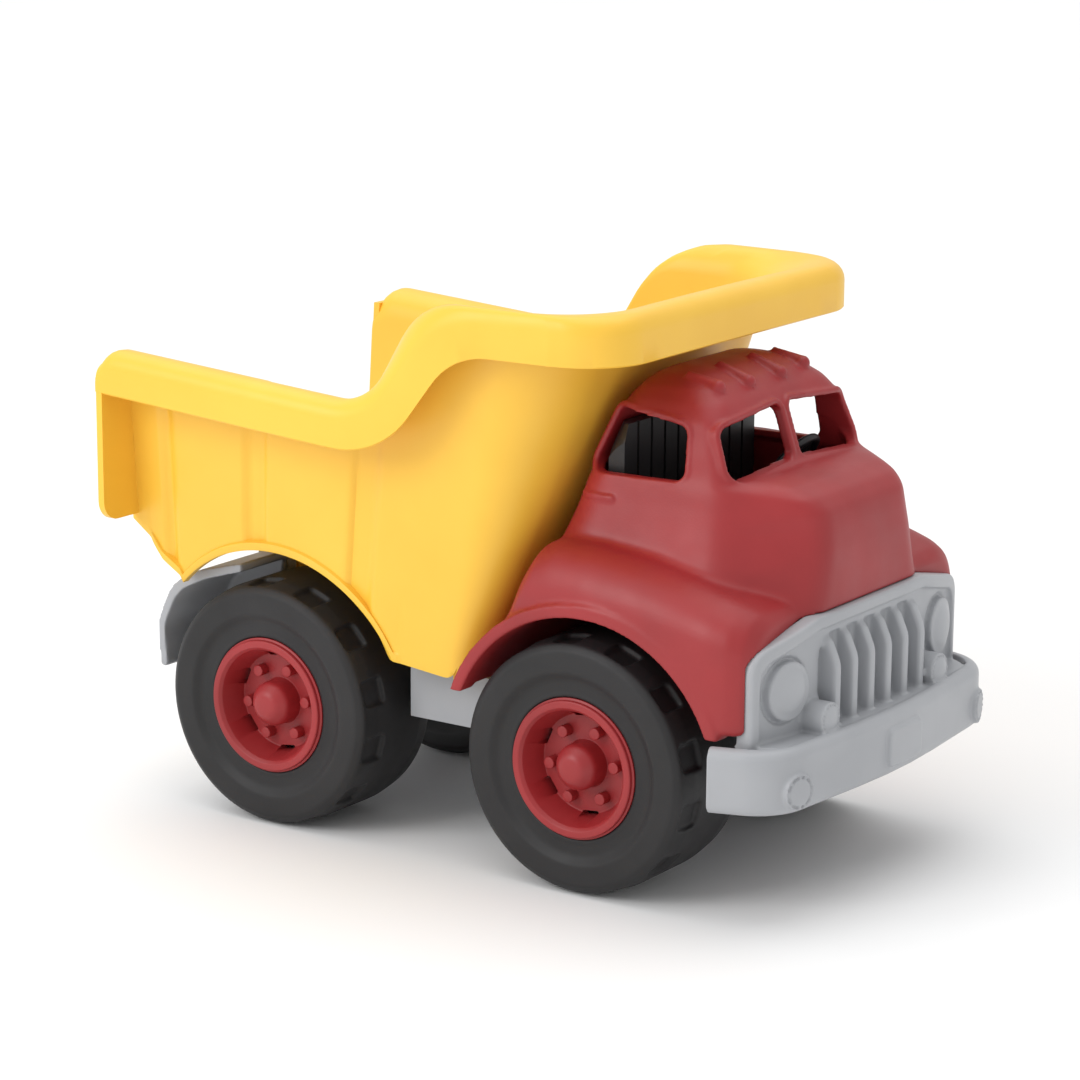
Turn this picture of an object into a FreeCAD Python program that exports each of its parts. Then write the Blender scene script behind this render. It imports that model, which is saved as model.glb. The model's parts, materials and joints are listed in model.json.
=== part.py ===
import FreeCAD, Part
import math
import os

import Sketcher

# Toy dump truck. +X is the truck's front, +Y its left side, +Z up; the ground is z = 0.
V = FreeCAD.Vector
doc = FreeCAD.newDocument("toy_dump_truck")
sheet = doc.addObject("Spreadsheet::Sheet", "sizes")

SIZES = {
    # wheels
    "front_hub_x": 50.3, "rear_hub_x": -74.3, "hub_height": 42.0, "tyre_radius": 42.0,
    "tyre_middle_y": 50.0, "tyre_half_width": 20.0, "wheel_disc": 10.4, "bolt_circle": 12.5,
    "bolt_radius": 2.0, "bolt_height": 3.8, "slot_circle": 16.5, "slot_radius": 0.85, "slot_length": 6.2,
    "pocket_depth": 1.8, "pocket_width": 9.0, "pocket_length": 9.5, "full_turn": 360.0,
    "axle_radius": 4.0, "axle_half_length": 56.0, "axle_clearance": 0.08,
    # chassis
    "spine_rear_x": -118.0, "spine_length": 226.0, "spine_half": 27.0, "spine_low": 35.0,
    "spine_high": 60.0, "chassis_wall": 3.0, "box_rear_x": -27.6, "box_length": 32.0,
    "box_half": 50.0, "box_low": 42.0, "ear_half_thick": 2.5, "ear_middle_y": 23.5, "ear_radius": 7.0,
    "hinge_x": -106.0, "hinge_z": 78.0, "pin_radius": 3.0, "pin_half_length": 26.0, "pin_clearance": 0.08,
    "lug_middle_y": 16.0, "lug_half_thick": 3.5, "lug_radius": 7.0, "guard_thick": 2.2,
    # bed
    "bed_wall": 2.6, "bed_low_z": 60.0, "bed_high_z": 176.0, "bed_low_half": 62.0, "bed_high_half": 71.5,
    "bed_low_front": 4.0, "bed_high_front": 47.0, "bed_low_round": 8.0, "bed_high_round": 28.0,
    "bed_rear_x": -133.5, "floor_low": 94.0, "floor_high": 97.0, "arch_radius": 53.0, "flange_thick": 3.0,
    "groove_depth": 1.1,
    # cab
    "cab_wall": 2.4, "interior_gap": 2.8, "front_arch_radius": 48.0, "lamp_radius": 2.6,
    "lamp_length": 13.0, "interior_floor": 97.0, "seat_low": 100.0, "seat_high": 114.0,
    "seat_groove_half": 0.6, "steering_radius": 9.0, "steering_grip": 1.4, "column_radius": 1.8,
    "column_length": 12.0,
    # grille and bumper
    "bumper_low": 38.7, "bumper_high": 60.0, "shelf_thick": 3.0, "headlight_radius": 9.5,
    "headlight_height": 74.5, "fog_radius": 5.8, "fog_height": 63.6, "marker_radius": 5.0, "fin_half": 2.0,
    # fasteners
    "screw_radius": 1.5, "screw_head_radius": 3.2, "screw_head": 2.0, "cab_screw_length": 11.0,
    "boss_radius": 4.2,
}

cells = {}


def cell(alias, value):
    """Put one driving number in the sheet under its alias."""
    row = len(cells) + 1
    sheet.set(f"A{row}", alias)
    sheet.set(f"B{row}", f"{value:g}")
    sheet.setAlias(f"B{row}", alias)
    cells[alias] = value


for name, number in SIZES.items():
    cell(name, number)


def bind(item, links):
    """Tie properties of an object to the sheet; each link is a property path and an expression."""
    for path, expression in links.items():
        for alias in sorted(cells, key=len, reverse=True):
            expression = expression.replace(f"<{alias}>", f"sizes.{alias}")
        item.setExpression(path, expression)


PLANES = {
    "side": FreeCAD.Rotation(V(1, 0, 0), 90),
    "front": FreeCAD.Rotation(V(1, 1, 1), 120),
    "plan": FreeCAD.Rotation(),
}


def corner_values(name, corners, inset):
    """Put an outline's corners in the sheet; return their aliases and, with any inset, their places."""
    mid_u = sum(corner[0] for corner in corners) / len(corners)
    mid_v = sum(corner[1] for corner in corners) / len(corners)
    rows = []
    for index, (u, v, radius) in enumerate(corners, 1):
        keys = [f"{name}_{axis}_{index}" for axis in ("across", "along", "round")]
        for key, value in zip(keys, (u, v, radius)):
            if key not in cells:
                cell(key, value)
        step_u = -1 if u > mid_u else 1
        step_v = -1 if v > mid_v else 1
        grow = cells[inset] if inset else 0.0
        rounding = radius - grow if radius > grow + 0.5 else radius
        start = V(u + step_u * grow, v + step_v * grow, 0)
        rows.append((keys, step_u, step_v, start, rounding))
    return rows


def outline(label, name, corners, plane="side", inset=None, level=None):
    """A closed sketch whose corners (across, along, rounding radius) are held by the sheet."""
    sketch = doc.addObject("Sketcher::SketchObject", label)
    fill_outline(sketch, name, corners, inset)
    sketch.Placement = FreeCAD.Placement(V(0, 0, 0), PLANES[plane])
    if level:
        bind(sketch, {"Placement.Base.z": level})
    return sketch


def fill_outline(sketch, name, corners, inset=None):
    """Draw the outline: straight edges, an arc at each rounded corner, and its constraints."""
    rows = corner_values(name, corners, inset)
    count = len(rows)
    tangents = []
    for index, (keys, step_u, step_v, start, rounding) in enumerate(rows):
        before = rows[index - 1][3]
        after = rows[(index + 1) % count][3]
        if rounding <= 0:
            tangents.append((start, start))
            continue
        back = (before - start).normalize()
        ahead = (after - start).normalize()
        reach = rounding / math.tan(back.getAngle(ahead) / 2)
        tangents.append((start + back * reach, start + ahead * reach))
    lines = []
    for index in range(count):
        segment = Part.LineSegment(tangents[index][1], tangents[(index + 1) % count][0])
        lines.append(sketch.addGeometry(segment, False))
    for index, (keys, step_u, step_v, start, rounding) in enumerate(rows):
        point = sketch.addGeometry(Part.Point(start), True)
        shift = f" + {{}} * <{inset}>" if inset else ""
        for kind, key, step, place in (("DistanceX", keys[0], step_u, start.x),
                                       ("DistanceY", keys[1], step_v, start.y)):
            rule = sketch.addConstraint(Sketcher.Constraint(kind, -1, 1, point, 1, place))
            bind(sketch, {f"Constraints[{rule}]": f"<{key}>" + shift.format(step)})
        incoming, outgoing = lines[index - 1], lines[index]
        if rounding <= 0:
            sketch.addConstraint(Sketcher.Constraint("Coincident", incoming, 2, point, 1))
            sketch.addConstraint(Sketcher.Constraint("Coincident", outgoing, 1, point, 1))
            continue
        sketch.addConstraint(Sketcher.Constraint("PointOnObject", point, 1, incoming))
        sketch.addConstraint(Sketcher.Constraint("PointOnObject", point, 1, outgoing))
        first, last = tangents[index]
        arc, opens_at = corner_arc(start, first, last, rounding)
        bend = sketch.addGeometry(arc, False)
        closes_at = 3 - opens_at
        sketch.addConstraint(Sketcher.Constraint("Tangent", incoming, 2, bend, opens_at))
        sketch.addConstraint(Sketcher.Constraint("Tangent", bend, closes_at, outgoing, 1))
        rule = sketch.addConstraint(Sketcher.Constraint("Radius", bend, rounding))
        shrink = f" - <{inset}>" if inset and rounding < cells[keys[2]] else ""
        bind(sketch, {f"Constraints[{rule}]": f"<{keys[2]}>{shrink}"})


def corner_arc(corner, first, last, radius):
    """The arc that rounds a corner, and which of its ends (1 start, 2 end) meets the first edge."""
    middle = (first + last) * 0.5
    toward = (middle - corner).normalize()
    centre = corner + toward * ((first - corner).Length ** 2 + radius ** 2) ** 0.5
    turn = (corner - first).cross(last - corner).z
    circle = Part.Circle(centre, V(0, 0, 1), radius)
    if turn > 0:
        return Part.ArcOfCircle(circle, circle.parameter(first), circle.parameter(last)), 1
    return Part.ArcOfCircle(circle, circle.parameter(last), circle.parameter(first)), 2


def prism(label, sketch, length, centred=True):
    """A sketch pushed out along its normal, half each way when centred."""
    solid = doc.addObject("Part::Extrusion", label)
    solid.Base = sketch
    solid.DirMode = "Normal"
    solid.Solid = True
    solid.Symmetric = centred
    solid.FaceMakerClass = "Part::FaceMakerBullseye"
    bind(solid, {"LengthFwd": length})
    return solid


def box(label, low, high):
    """A block between two corners given as expressions."""
    solid = doc.addObject("Part::Box", label)
    for side, axis, first, last in zip(("Length", "Width", "Height"), "xyz", low, high):
        bind(solid, {side: f"({last}) - ({first})", f"Placement.Base.{axis}": first})
    return solid


def rod(label, radius, start, length, turn):
    """A cylinder from a start point, turned to point along its axis."""
    solid = doc.addObject("Part::Cylinder", label)
    solid.Placement = FreeCAD.Placement(V(0, 0, 0), turn)
    bind(solid, {"Radius": radius, "Height": length})
    for axis, place in zip("xyz", start):
        bind(solid, {f"Placement.Base.{axis}": place})
    return solid


ALONG_Y = FreeCAD.Rotation(V(1, 0, 0), -90)
ALONG_X = FreeCAD.Rotation(V(0, 1, 0), 90)
ALONG_Z = FreeCAD.Rotation()


def fuse(label, solids):
    result = doc.addObject("Part::MultiFuse", label)
    result.Shapes = solids
    return result


def common(label, solids):
    result = doc.addObject("Part::MultiCommon", label)
    result.Shapes = solids
    return result


def cut(label, base, tool):
    result = doc.addObject("Part::Cut", label)
    result.Base = base
    result.Tool = tool
    return result


def loft(label, sections, ruled=True):
    result = doc.addObject("Part::Loft", label)
    result.Sections = sections
    result.Solid = True
    result.Ruled = ruled
    return result


def mirrored(label, source):
    """The same solid on the truck's other side."""
    result = doc.addObject("Part::Mirroring", label)
    result.Source = source
    result.Normal = V(0, 1, 0)
    return result


parts = {}


def part(label, solid):
    """Name a finished sub-part; the label names its node."""
    solid.Label = label
    parts[label] = solid


# ---------------------------------------------------------------- wheels
POCKETS = 13
BOLTS = 6
WHEELS = {
    "front_right": ("front_hub_x", -1), "front_left": ("front_hub_x", 1),
    "rear_right": ("rear_hub_x", -1), "rear_left": ("rear_hub_x", 1),
}
# radius from the axle, height along the axle with the outer side up, rounding
TYRE_SECTION = [
    (23.4, 13.5, 0), (23.4, 18.4, 1), (27.0, 17.6, 2), (31.5, 19.0, 1), (33.5, 20.0, 2), (40.2, 20.0, 2.5),
    (42.0, 14.0, 3), (42.0, -14.0, 3), (40.2, -20.0, 2.5), (30.0, -20.0, 2), (23.4, -19.0, 1),
    (23.4, -13.5, 0), (28.0, -15.5, 0), (36.5, -15.5, 3), (38.6, -12.0, 2), (38.6, 12.0, 2),
    (36.5, 15.0, 3), (28.0, 14.0, 0),
]
RIM_SECTION = [
    (0.0, 21.0, 0), (6.0, 20.8, 5.6), (8.0, 13.6, 3), (8.0, 10.4, 0), (16.6, 10.4, 0), (19.6, 19.4, 1),
    (20.4, 20.0, 0.4), (22.7, 20.0, 0.5), (22.7, 18.6, 0), (23.4, 18.2, 0), (23.4, -18.0, 0),
    (20.8, -18.0, 0), (20.8, 8.2, 1), (8.0, 8.2, 1), (8.0, -17.0, 0), (0.0, -17.0, 0),
]


def role_plane(body, role):
    return [plane for plane in body.Origin.OriginFeatures if plane.Role == role][0]


def body_sketch(body, label, role):
    """A sketch in a body, on one of the body's own origin planes."""
    sketch = body.newObject("Sketcher::SketchObject", label)
    sketch.AttachmentSupport = [(role_plane(body, role), "")]
    sketch.MapMode = "FlatFace"
    return sketch


def turned_body(label, name, section):
    """A body turned about its own upright axis from a half section."""
    body = doc.addObject("PartDesign::Body", label)
    sketch = body_sketch(body, f"{label}_section", "XZ_Plane")
    fill_outline(sketch, name, section)
    turning = body.newObject("PartDesign::Revolution", f"{label}_turning")
    turning.Profile = sketch
    turning.ReferenceAxis = (sketch, ["V_Axis"])
    turning.Angle = 360
    doc.recompute()
    return body


def around(body, label, feature, count):
    """Repeat a feature round the body's axis."""
    pattern = body.newObject("PartDesign::PolarPattern", label)
    pattern.Originals = [feature]
    pattern.Axis = ([axis for axis in body.Origin.OriginFeatures if axis.Role == "Z_Axis"][0], [""])
    pattern.Occurrences = count
    bind(pattern, {"Angle": "<full_turn>"})
    body.Tip = pattern
    doc.recompute()


def place_wheel(body, hub, side):
    """Put a wheel piece on its axle, outer side outwards."""
    body.Placement = FreeCAD.Placement(V(0, 0, 0), FreeCAD.Rotation(V(1, 0, 0), -90 * side))
    bind(body, {
        "Placement.Base.x": f"<{hub}>",
        "Placement.Base.y": f"{side} * <tyre_middle_y>",
        "Placement.Base.z": "<hub_height>",
    })


def tyre(label, hub, side):
    body = turned_body(f"tyre_{label}", "tyre_section", TYRE_SECTION)
    volume = body.Shape.Volume
    pocket = body.newObject("PartDesign::SubtractiveBox", f"tyre_{label}_pocket")
    bind(pocket, {
        "Length": "<pocket_depth> + 3", "Width": "<pocket_width>", "Height": "<pocket_length>",
        "Placement.Base.x": "<tyre_radius> - <pocket_depth>", "Placement.Base.y": "-<pocket_width> / 2",
        "Placement.Base.z": "<tyre_half_width> - <pocket_length> - 4",
    })
    doc.recompute()
    around(body, f"tyre_{label}_pockets", pocket, POCKETS)
    if body.Shape.Volume >= volume:
        raise RuntimeError("the tyre pockets cut nothing")
    place_wheel(body, hub, side)
    part(f"tyre_{label}", body)


def wheel(label, hub, side):
    body = turned_body(f"wheel_{label}", "rim_section", RIM_SECTION)
    volume = body.Shape.Volume
    bolt = body.newObject("PartDesign::AdditiveCylinder", f"wheel_{label}_bolt")
    bind(bolt, {
        "Radius": "<bolt_radius>", "Height": "<bolt_height> + 1",
        "Placement.Base.x": "<bolt_circle>", "Placement.Base.z": "<wheel_disc> - 1",
    })
    doc.recompute()
    around(body, f"wheel_{label}_bolts", bolt, BOLTS)
    slot = body.newObject("PartDesign::SubtractiveBox", f"wheel_{label}_slot")
    bind(slot, {
        "Length": "2 * <slot_radius>", "Width": "<slot_length>", "Height": "<wheel_disc>",
        "Placement.Base.x": "<slot_circle> - <slot_radius>", "Placement.Base.y": "-<slot_length> / 2",
        "Placement.Base.z": "<wheel_disc> / 2",
    })
    doc.recompute()
    around(body, f"wheel_{label}_slots", slot, BOLTS)
    bore = body.newObject("PartDesign::SubtractiveCylinder", f"wheel_{label}_bore")
    bind(bore, {
        "Radius": "<axle_radius>", "Height": "<axle_half_length> - <tyre_middle_y> + 25",
        "Placement.Base.z": "-25",
    })
    body.Tip = bore
    doc.recompute()
    if body.Shape.Volume >= volume:
        raise RuntimeError("the wheel bore cuts nothing")
    place_wheel(body, hub, side)
    part(f"wheel_{label}", body)


for wheel_name, (hub_alias, wheel_side) in WHEELS.items():
    tyre(wheel_name, hub_alias, wheel_side)
    wheel(wheel_name, hub_alias, wheel_side)

for axle_name, hub_alias in (("front_axle", "front_hub_x"), ("rear_axle", "rear_hub_x")):
    axle = rod(axle_name, "<axle_radius>", (f"<{hub_alias}>", "-<axle_half_length>", "<hub_height>"),
               "2 * <axle_half_length>", ALONG_Y)
    part(axle_name, axle)

# ---------------------------------------------------------------- chassis
CAB_SCREWS = [(36, 10), (36, -10), (84, 10), (84, -10)]


def screw_rods(name, spots, radius, low, length):
    """Upright cylinders on a set of screw positions."""
    return [rod(f"{name}_{index}", radius, (str(x), str(y), low), length, ALONG_Z)
            for index, (x, y) in enumerate(spots, 1)]


spine = box("spine", ("<spine_rear_x>", "-<spine_half>", "<spine_low>"),
            ("<spine_rear_x> + <spine_length>", "<spine_half>", "<spine_high>"))
spine_hollow = box("spine_hollow",
                   ("<spine_rear_x> + <chassis_wall>", "<chassis_wall> - <spine_half>", "<spine_low> - 1"),
                   ("<spine_rear_x> + <spine_length> - <chassis_wall>", "<spine_half> - <chassis_wall>",
                    "<spine_high> - <chassis_wall>"))
middle = box("middle", ("<box_rear_x>", "-<box_half>", "<box_low>"),
             ("<box_rear_x> + <box_length>", "<box_half>", "<spine_high>"))
middle_hollow = box("middle_hollow",
                    ("<box_rear_x> + <chassis_wall>", "<chassis_wall> - <box_half>", "<spine_low> - 2"),
                    ("<box_rear_x> + <box_length> - <chassis_wall>", "<box_half> - <chassis_wall>",
                     "<spine_high> - <chassis_wall>"))
ears = []
for ear_name, ear_side in (("left", 1), ("right", -1)):
    ear_low = f"{ear_side} * <ear_middle_y> - <ear_half_thick>"
    ear_high = f"{ear_side} * <ear_middle_y> + <ear_half_thick>"
    ears.append(box(f"ear_{ear_name}", ("<hinge_x> - <ear_radius>", ear_low, "<spine_high> - 1"),
                    ("<hinge_x> + <ear_radius>", ear_high, "<hinge_z>")))
    ears.append(rod(f"ear_top_{ear_name}", "<ear_radius>", ("<hinge_x>", ear_low, "<hinge_z>"),
                    "2 * <ear_half_thick>", ALONG_Y))
webs = []
for web_name, web_hub in (("front", "front_hub_x"), ("rear", "rear_hub_x")):
    webs.append(box(f"web_{web_name}", (f"<{web_hub}> - 6.5", "-6", "<spine_low>"),
                    (f"<{web_hub}> + 6.5", "6", "<spine_high>")))
chassis_bulk = fuse("chassis_bulk", [spine, middle])
chassis_hollow = fuse("chassis_hollow", [spine_hollow, middle_hollow])
chassis_shell = cut("chassis_shell", chassis_bulk, chassis_hollow)
chassis_full = fuse("chassis_full", [chassis_shell] + ears + webs)
holes = screw_rods("cab_screw_hole", CAB_SCREWS, "<screw_radius>", "<spine_low>", "<spine_high>")
for hole_name, hole_hub in (("front", "front_hub_x"), ("rear", "rear_hub_x")):
    holes.append(rod(f"bearing_{hole_name}", "<axle_radius> + <axle_clearance>",
                     (f"<{hole_hub}>", "-<spine_half> - 1", "<hub_height>"), "2 * <spine_half> + 2", ALONG_Y))
holes.append(rod("hinge_hole", "<pin_radius>", ("<hinge_x>", "-<spine_half> - 1", "<hinge_z>"),
                 "2 * <spine_half> + 2", ALONG_Y))
part("chassis", cut("chassis_cut", chassis_full, fuse("chassis_holes", holes)))

part("bed_hinge_pin", rod("hinge_pin", "<pin_radius>", ("<hinge_x>", "-<pin_half_length>", "<hinge_z>"),
                          "2 * <pin_half_length>", ALONG_Y))

# curved guards behind the rear wheels, each on a web beside the spine
GUARD = [
    (-125.0, 45.2, 1.6), (-126.6, 60.0, 12), (-120.4, 72.8, 14), (-108.0, 78.6, 16), (-92.0, 83.6, 0),
    (-92.0, 87.2, 0), (-110.0, 82.4, 18), (-123.0, 75.8, 16), (-130.0, 61.0, 14), (-128.8, 45.2, 1.6),
]
GUARD_WEB = [
    (-124.6, 50.0, 0), (-118.0, 46.0, 0), (-104.0, 46.0, 0), (-98.0, 84.0, 0), (-109.0, 80.4, 8),
    (-121.6, 74.4, 10), (-127.6, 61.0, 8),
]
guard_span = prism("guard_span", outline("guard_outline", "guard", GUARD), "120")
guard_keep = box("guard_keep", ("-140", "28.2", "0"), ("-80", "60", "100"))
guard_skin = common("guard_skin", [guard_span, guard_keep])
guard_web_span = prism("guard_web_span", outline("guard_web_outline", "guard_web", GUARD_WEB), "120")
guard_web_keep = box("guard_web_keep", ("-140", "<spine_half>", "0"),
                     ("-80", "<spine_half> + <guard_thick>", "100"))
guard_web = common("guard_web_part", [guard_web_span, guard_web_keep])
left_guard = fuse("guard_left", [guard_skin, guard_web])
part("rear_mudguard_left", left_guard)
part("rear_mudguard_right", mirrored("guard_right", left_guard))

def screw_group(label, name, spots, seat, length):
    """Identical self-tapping screws with pan heads below their seat, as one group."""
    shanks = screw_rods(f"{name}_shank", spots, "<screw_radius>", seat, length)
    heads = screw_rods(f"{name}_head", spots, "<screw_head_radius>", f"{seat} - <screw_head>", "<screw_head>")
    part(label, fuse(name, shanks + heads))


screw_group("cab_screws", "cab_screw", CAB_SCREWS, "<spine_high> - <chassis_wall>", "<cab_screw_length>")

# ---------------------------------------------------------------- dump bed
OVERRUN = 16.5
TUB = {"low": ("bed_low_half", "bed_low_front", "bed_low_round", "bed_low_z"),
       "high": ("bed_high_half", "bed_high_front", "bed_high_round", "bed_high_z")}


def tub(name, inset):
    """Leaning tub block: round front corners, flat rear, wider and longer at the top."""
    sections = []
    for level_name, (half, front, rounding, level) in TUB.items():
        step = cells[inset] if inset else 0.0
        rear = cells["bed_rear_x"] - (OVERRUN if inset else 0.0)
        key = f"tub_{name}_{level_name}"
        wide = cells[half] - step
        ahead = cells[front] - step
        corners = [(rear, -wide, 0), (ahead, -wide, cells[rounding]), (ahead, wide, cells[rounding]),
                   (rear, wide, 0)]
        sections.append(outline(key, key, corners, "plan", None, f"<{level}>"))
    return loft(f"tub_{name}", sections)


BED_SIDE = [
    (-133.5, 158.0, 0), (-24.0, 151.0, 24), (-1.0, 176.0, 30), (60.0, 176.0, 0), (60.0, 120.0, 0),
    (-0.4, 61.2, 5), (-31.5, 64.8, 0), (-60.0, 94.5, 0), (-84.0, 94.5, 0), (-112.8, 80.6, 2),
    (-121.0, 85.5, 3), (-125.5, 92.0, 3), (-133.5, 98.6, 1),
]
bed_block = prism("bed_block", outline("bed_side_outline", "bed_side", BED_SIDE), "200")
arch_gap = rod("arch_gap", "<arch_radius>", ("<rear_hub_x>", "-100", "<hub_height>"), "200", ALONG_Y)
tub_outer = tub("outer", None)
tub_inner = tub("inner", "bed_wall")
tub_skin = cut("tub_skin", tub_outer, tub_inner)
tub_core = tub("core", "groove_depth")
floor_slab = box("floor_slab", ("<bed_rear_x> + 2", "-90", "<floor_low>"), ("60", "90", "<floor_high>"))
floor_cut = common("bed_floor", [tub_core, floor_slab])

# upright grooves that part the side wall's broad panels
GROOVES = ((-81.0, -73.0), (-36.0, -25.5))
GROOVE_LEAN = 6.5
groove_blocks = []
for groove_index, (groove_rear, groove_front) in enumerate(GROOVES, 1):
    groove_corners = [(groove_rear - GROOVE_LEAN, 60.0, 0), (groove_front - GROOVE_LEAN, 60.0, 0),
                      (groove_front, 140.0, 0), (groove_rear, 140.0, 0)]
    groove_label = f"groove_{groove_index}"
    groove_blocks.append(prism(groove_label, outline(f"{groove_label}_outline", groove_label, groove_corners),
                               "180"))
groove_tool = cut("groove_tool", fuse("groove_blocks", groove_blocks), tub_core)
walls = cut("bed_walls", common("bed_trimmed", [tub_skin, bed_block]), groove_tool)
walls_open = cut("bed_walls_open", walls, arch_gap)

# rolled rim: low along the sides, then up an S-curve and across the front
RIM_BAND = [
    (-133.5, 160.6, 8), (-22.0, 153.2, 26), (4.0, 189.0, 32), (72.5, 189.6, 0), (72.5, 173.4, 0),
    (12.5, 173.4, 26), (-15.5, 137.4, 34), (-133.5, 145.4, 0),
]
RIM_HOLLOW = [
    (-130.5, 157.8, 4), (-22.7, 150.4, 27), (3.2, 186.2, 30), (69.6, 186.6, 0), (69.6, 168.0, 0),
    (15.0, 168.0, 22), (-13.0, 130.0, 34), (-130.5, 138.0, 0),
]
PLAN_OUTER = [
    (-133.5, -85.5, 0), (-30.0, -85.5, 60), (70.0, -80.5, 14), (70.0, 80.5, 14), (-30.0, 85.5, 60),
    (-133.5, 85.5, 0),
]
PLAN_INNER = [(-150.0, -68.2, 0), (44.6, -68.2, 25), (44.6, 68.2, 25), (-150.0, 68.2, 0)]
PLAN_HOLLOW = [
    (-130.5, -82.9, 0), (-30.0, -82.9, 60), (67.4, -77.9, 12), (67.4, 77.9, 12), (-30.0, 82.9, 60),
    (-130.5, 82.9, 0),
]
PLAN_CORE = [(-150.0, -73.0, 0), (50.5, -73.0, 28), (50.5, 73.0, 28), (-150.0, 73.0, 0)]


def plan_block(name, corners):
    """A tall block of a plan outline, up from the ground."""
    return prism(name, outline(f"{name}_outline", name, corners, "plan"), "220", False)


rim_solid = common("rim_solid", [prism("rim_band", outline("rim_band_outline", "rim_band", RIM_BAND), "200"),
                                 plan_block("rim_plan", PLAN_OUTER)])
rim_ring = cut("rim_ring", rim_solid, plan_block("rim_plan_inner", PLAN_INNER))
rim_hollow = prism("rim_hollow", outline("rim_hollow_outline", "rim_hollow", RIM_HOLLOW), "200")
rim_room = common("rim_room", [rim_hollow, plan_block("rim_plan_hollow", PLAN_HOLLOW)])
rim_void = cut("rim_void", rim_room, plan_block("rim_plan_core", PLAN_CORE))
rim = cut("rim", rim_ring, rim_void)

FLANGE = [(-85.5, 101.0, 7), (-85.5, 150.0, 0), (-66.0, 150.0, 0), (-64.0, 101.0, 0)]
flange_right = prism("flange_right", outline("flange_outline", "flange", FLANGE, "front"), "<flange_thick>",
                     False)
bind(flange_right, {"Placement.Base.x": "<bed_rear_x>"})
flange_left = mirrored("flange_left", flange_right)

lugs = []
for lug_name, lug_side in (("left", 1), ("right", -1)):
    lug_low = f"{lug_side} * <lug_middle_y> - <lug_half_thick>"
    lug_high = f"{lug_side} * <lug_middle_y> + <lug_half_thick>"
    lugs.append(box(f"lug_{lug_name}", ("<hinge_x> - <lug_radius>", lug_low, "<hinge_z>"),
                    ("<hinge_x> + <lug_radius>", lug_high, "<floor_low> + 1")))
    lugs.append(rod(f"lug_round_{lug_name}", "<lug_radius>", ("<hinge_x>", lug_low, "<hinge_z>"),
                    "2 * <lug_half_thick>", ALONG_Y))
pin_room = rod("pin_room", "<pin_radius> + <pin_clearance>", ("<hinge_x>", "-40", "<hinge_z>"), "80", ALONG_Y)
bed_full = fuse("bed_full", [walls_open, floor_cut, rim, flange_right, flange_left] + lugs)
part("dump_bed", cut("bed_cut", bed_full, pin_room))

# ---------------------------------------------------------------- cab
FENDER_SIDE = [
    (6.0, 62.5, 2), (22.5, 90.0, 6), (29.0, 113.0, 6), (50.9, 113.5, 10), (88.3, 107.0, 20),
    (114.4, 100.6, 6), (114.4, 62.5, 0),
]
FENDER_FRONT = [(-71.0, 50.0, 0), (71.0, 50.0, 0), (69.5, 113.6, 17), (-69.5, 113.6, 17)]
FENDER_PLAN = [(0.0, -71.0, 0), (114.4, -71.0, 11), (114.4, 71.0, 11), (0.0, 71.0, 0)]
HOOD_SIDE = [(70.0, 85.0, 0), (70.0, 138.0, 0), (92.5, 135.2, 8), (111.0, 131.8, 9), (118.6, 121.0, 8),
             (119.0, 85.0, 0)]
HOOD_FRONT = [(-54.0, 80.0, 0), (54.0, 80.0, 0), (44.0, 136.0, 9), (-44.0, 136.0, 9)]
HOOD_PLAN = [
    (60.0, -49.0, 0), (89.0, -47.5, 16), (119.0, -25.0, 11), (119.0, 25.0, 11), (89.0, 47.5, 16),
    (60.0, 49.0, 0),
]
# the grille panel's outline, which the cab's front is open for
PANEL_FRONT = [
    (-66.0, 57.0, 0), (66.0, 57.0, 0), (66.0, 87.5, 7), (33.0, 95.2, 14), (-33.0, 95.2, 14), (-66.0, 87.5, 7),
]
# rear x, front x, half width, height, corner rounding
CAB_LEVELS = [
    (24.0, 110.0, 57.0, 98.0, 14.0), (29.0, 100.0, 52.5, 113.0, 12.0), (36.5, 91.5, 46.5, 134.0, 10.0),
    (42.5, 85.0, 40.5, 153.0, 10.0), (47.5, 76.0, 34.0, 162.0, 9.0), (52.0, 68.0, 27.0, 166.0, 7.0),
]


def cab_mass(name, inset):
    """Cab, hood and fenders as one block; with an inset it is the room inside them."""
    blocks = []
    for block, side_corners, front_corners, plan_corners in (
            ("fender", FENDER_SIDE, FENDER_FRONT, FENDER_PLAN), ("hood", HOOD_SIDE, HOOD_FRONT, HOOD_PLAN)):
        views = []
        for view, corners, plane in (("side", side_corners, "side"), ("front", front_corners, "front"),
                                     ("plan", plan_corners, "plan")):
            sketch = outline(f"{block}_{view}_{name}", f"{block}_{view}", corners, plane, inset)
            views.append(prism(f"{block}_{view}_block_{name}", sketch, "300", plane != "plan"))
        blocks.append(common(f"{block}_{name}", views))
    sections = []
    step = cells[inset] if inset else 0.0
    for index, (rear, front, half, level, rounding) in enumerate(CAB_LEVELS, 1):
        key = f"cab_{name}_level_{index}"
        wide, bend = half - step, rounding - step
        corners = [(rear + step, -wide, bend), (front - step, -wide, bend), (front - step, wide, bend),
                   (rear + step, wide, bend)]
        cell(f"{key}_height", level - step)
        sections.append(outline(key, key, corners, "plan", None, f"<{key}_height>"))
    blocks.append(loft(f"cab_upper_{name}", sections))
    return fuse(f"cab_{name}", blocks)


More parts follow.
